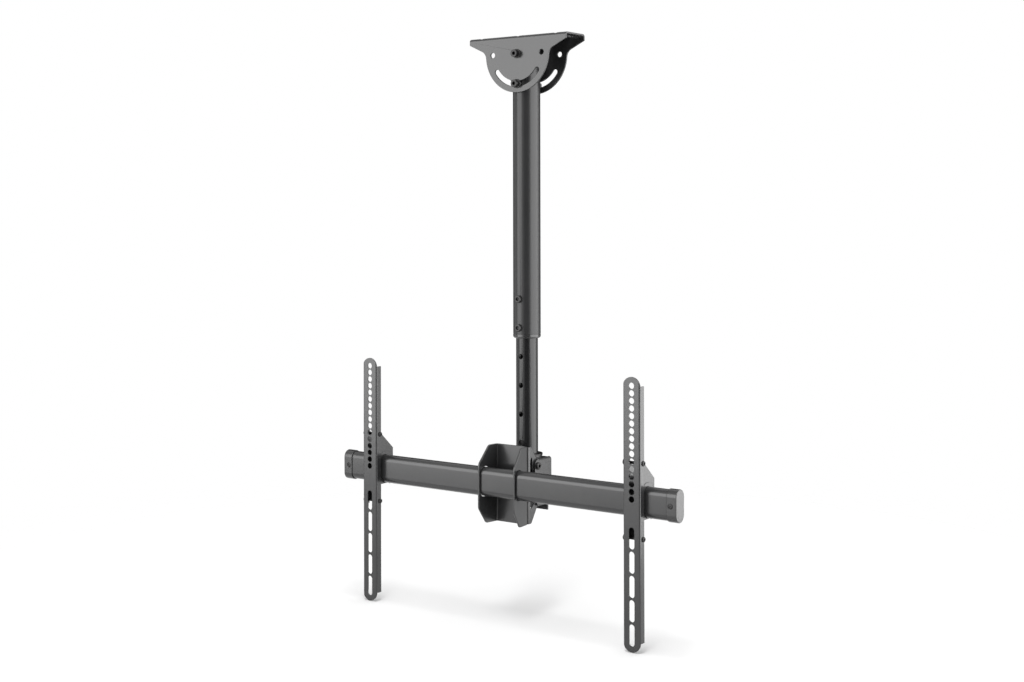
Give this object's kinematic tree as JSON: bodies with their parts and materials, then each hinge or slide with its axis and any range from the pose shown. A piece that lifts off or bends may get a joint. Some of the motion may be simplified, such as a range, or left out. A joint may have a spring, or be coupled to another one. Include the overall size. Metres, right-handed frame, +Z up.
{
  "type": "swivel tv ceiling mount",
  "caption": "Telescopic ceiling mount for a television: folded ceiling plate, leaning pole with sliding drop tube, swivel yoke, tilting cradle, oval crossbar and slotted rails.",
  "frame": {"origin": "centre of the ceiling plate's top face", "axes": "+Z up to the ceiling, X along the crossbar, -Y towards the television"},
  "size_m": [0.7, 0.14, 1.004],
  "materials": {
    "black_powder_coat": "satin",
    "black_plastic": "satin",
    "blackened_steel": "satin"
  },
  "bodies": {
    "ceiling": {"ceiling_plate": "black_powder_coat", "lean_pivot_screw": "blackened_steel", "lean_pivot_washers": "blackened_steel", "lean_pivot_nut": "blackened_steel"},
    "pole": {"outer_pole": "black_powder_coat", "cross_sleeves": "black_powder_coat", "pole_collar": "black_plastic", "height_screws": "blackened_steel", "lean_lock_screw": "blackened_steel", "lean_lock_washers": "blackened_steel", "lean_lock_nut": "blackened_steel"},
    "drop_tube": {"inner_tube": "black_powder_coat", "guide_bush": "black_plastic", "tube_foot": "blackened_steel", "swivel_screw": "blackened_steel"},
    "yoke": {"swivel_yoke": "black_powder_coat", "swivel_washer": "black_plastic", "swivel_under_washer": "blackened_steel"},
    "head": {"tilt_bracket": "black_powder_coat", "tilt_washers": "black_plastic", "tilt_pivot_screws": "blackened_steel", "tilt_pivot_nuts": "blackened_steel", "tilt_lock_screws": "blackened_steel", "tilt_lock_nuts": "blackened_steel", "crossbar_cradle": "black_powder_coat", "crossbar": "black_powder_coat", "crossbar_spacers": "blackened_steel", "crossbar_screws": "blackened_steel", "crossbar_nuts": "blackened_steel", "end_cap_left": "black_plastic", "end_cap_right": "black_plastic", "cap_screw_left": "blackened_steel", "cap_screw_right": "blackened_steel"},
    "arm_left": {"tv_rail_left": "black_powder_coat", "slider_left": "black_powder_coat", "slider_liner_left": "black_plastic", "rail_screws_left": "blackened_steel", "rail_nuts_left": "blackened_steel", "clamp_screw_left": "blackened_steel", "clamp_nut_left": "blackened_steel"},
    "arm_right": {"tv_rail_right": "black_powder_coat", "slider_right": "black_powder_coat", "slider_liner_right": "black_plastic", "rail_screws_right": "blackened_steel", "rail_nuts_right": "blackened_steel", "clamp_screw_right": "blackened_steel", "clamp_nut_right": "blackened_steel"}
  },
  "joints": [
    {"name": "lean", "type": "hinge", "parent": "ceiling", "child": "pole", "pos_m": [0, 0, -0.0315], "axis": [0, 1, 0], "range_deg": [-54.5, 54.5]},
    {"name": "height", "type": "slide", "parent": "pole", "child": "drop_tube", "axis": [0, 0, 1], "range_m": [-0.15, 0.2]},
    {"name": "swivel", "type": "hinge", "parent": "drop_tube", "child": "yoke", "pos_m": [0, 0, -0.7315], "axis": [0, 0, 1], "range_deg": [-60, 60]},
    {"name": "tilt", "type": "hinge", "parent": "yoke", "child": "head", "pos_m": [0, -0.02, -0.74299], "axis": [1, 0, 0], "range_deg": [-5, 12]},
    {"name": "arm_left_slide", "type": "slide", "parent": "head", "child": "arm_left", "axis": [1, 0, 0], "range_m": [-0.04, 0.212]},
    {"name": "arm_right_slide", "type": "slide", "parent": "head", "child": "arm_right", "axis": [1, 0, 0], "range_m": [-0.212, 0.04]}
  ]
}
